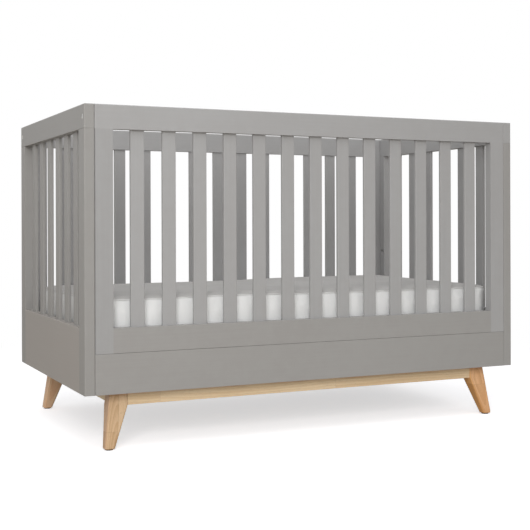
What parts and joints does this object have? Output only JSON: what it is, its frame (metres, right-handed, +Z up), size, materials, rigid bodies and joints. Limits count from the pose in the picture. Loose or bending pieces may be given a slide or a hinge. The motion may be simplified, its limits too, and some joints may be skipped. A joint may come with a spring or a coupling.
{
  "type": "baby crib",
  "caption": "Box-shaped baby crib with flat upright slats on all sides, grey painted panels, a splayed natural wood leg base, a height-set slatted mattress base and a mattress.",
  "frame": {"origin": "on the floor, under the middle of the crib's bounding box", "axes": "+X to the right along the crib's length as seen from the front, +Y from the front to the back, +Z up"},
  "size_m": [1.386, 0.765, 0.921],
  "materials": {
    "grey_paint": "satin paint on solid wood",
    "beech": "clear matt lacquer",
    "pine": "planed, unfinished",
    "zinc_steel": "zinc plated",
    "bracket_steel": "satin powder coat",
    "nylon": "moulded nylon",
    "mattress_cover": "woven cover"
  },
  "bodies": {
    "frame": {"left_end_top_rail": "grey_paint", "left_end_front_post": "grey_paint", "left_end_back_post": "grey_paint", "left_end_bottom_rail": "grey_paint", "left_end_slats": "grey_paint", "right_end_top_rail": "grey_paint", "right_end_front_post": "grey_paint", "right_end_back_post": "grey_paint", "right_end_bottom_rail": "grey_paint", "right_end_slats": "grey_paint", "front_top_rail": "grey_paint", "front_left_stile": "grey_paint", "front_right_stile": "grey_paint", "front_bottom_rail": "grey_paint", "front_slats": "grey_paint", "front_lower_board": "grey_paint", "back_top_rail": "grey_paint", "back_left_stile": "grey_paint", "back_right_stile": "grey_paint", "back_bottom_rail": "grey_paint", "back_slats": "grey_paint", "panel_bolts": "zinc_steel", "barrel_nuts": "zinc_steel", "panel_dowels": "beech", "corner_brackets": "bracket_steel", "corner_screws": "zinc_steel", "height_inserts": "zinc_steel", "support_bolts": "zinc_steel", "front_left_leg": "beech", "front_right_leg": "beech", "back_left_leg": "beech", "back_right_leg": "beech", "front_stretcher": "beech", "back_stretcher": "beech", "left_stretcher": "beech", "right_stretcher": "beech", "foot_glides": "nylon", "left_bearer": "grey_paint", "right_bearer": "grey_paint", "bearer_dowels": "beech", "base_bolts": "zinc_steel", "base_inserts": "zinc_steel"},
    "mattress_base": {"platform_front_rail": "pine", "platform_back_rail": "pine", "platform_left_rail": "pine", "platform_right_rail": "pine", "platform_slats": "pine", "platform_screws": "zinc_steel", "front_left_hanger": "bracket_steel", "front_right_hanger": "bracket_steel", "back_left_hanger": "bracket_steel", "back_right_hanger": "bracket_steel", "hanger_screws": "zinc_steel"},
    "mattress": {"mattress": "mattress_cover", "mattress_piping": "mattress_cover"}
  },
  "joints": [
    {"name": "mattress_base_height", "type": "slide", "parent": "frame", "child": "mattress_base", "axis": [0, 0, 1], "range_m": [0, 0.2]},
    {"name": "mattress_lift", "type": "slide", "parent": "mattress_base", "child": "mattress", "axis": [0, 0, 1], "range_m": [0, 0.68]}
  ]
}
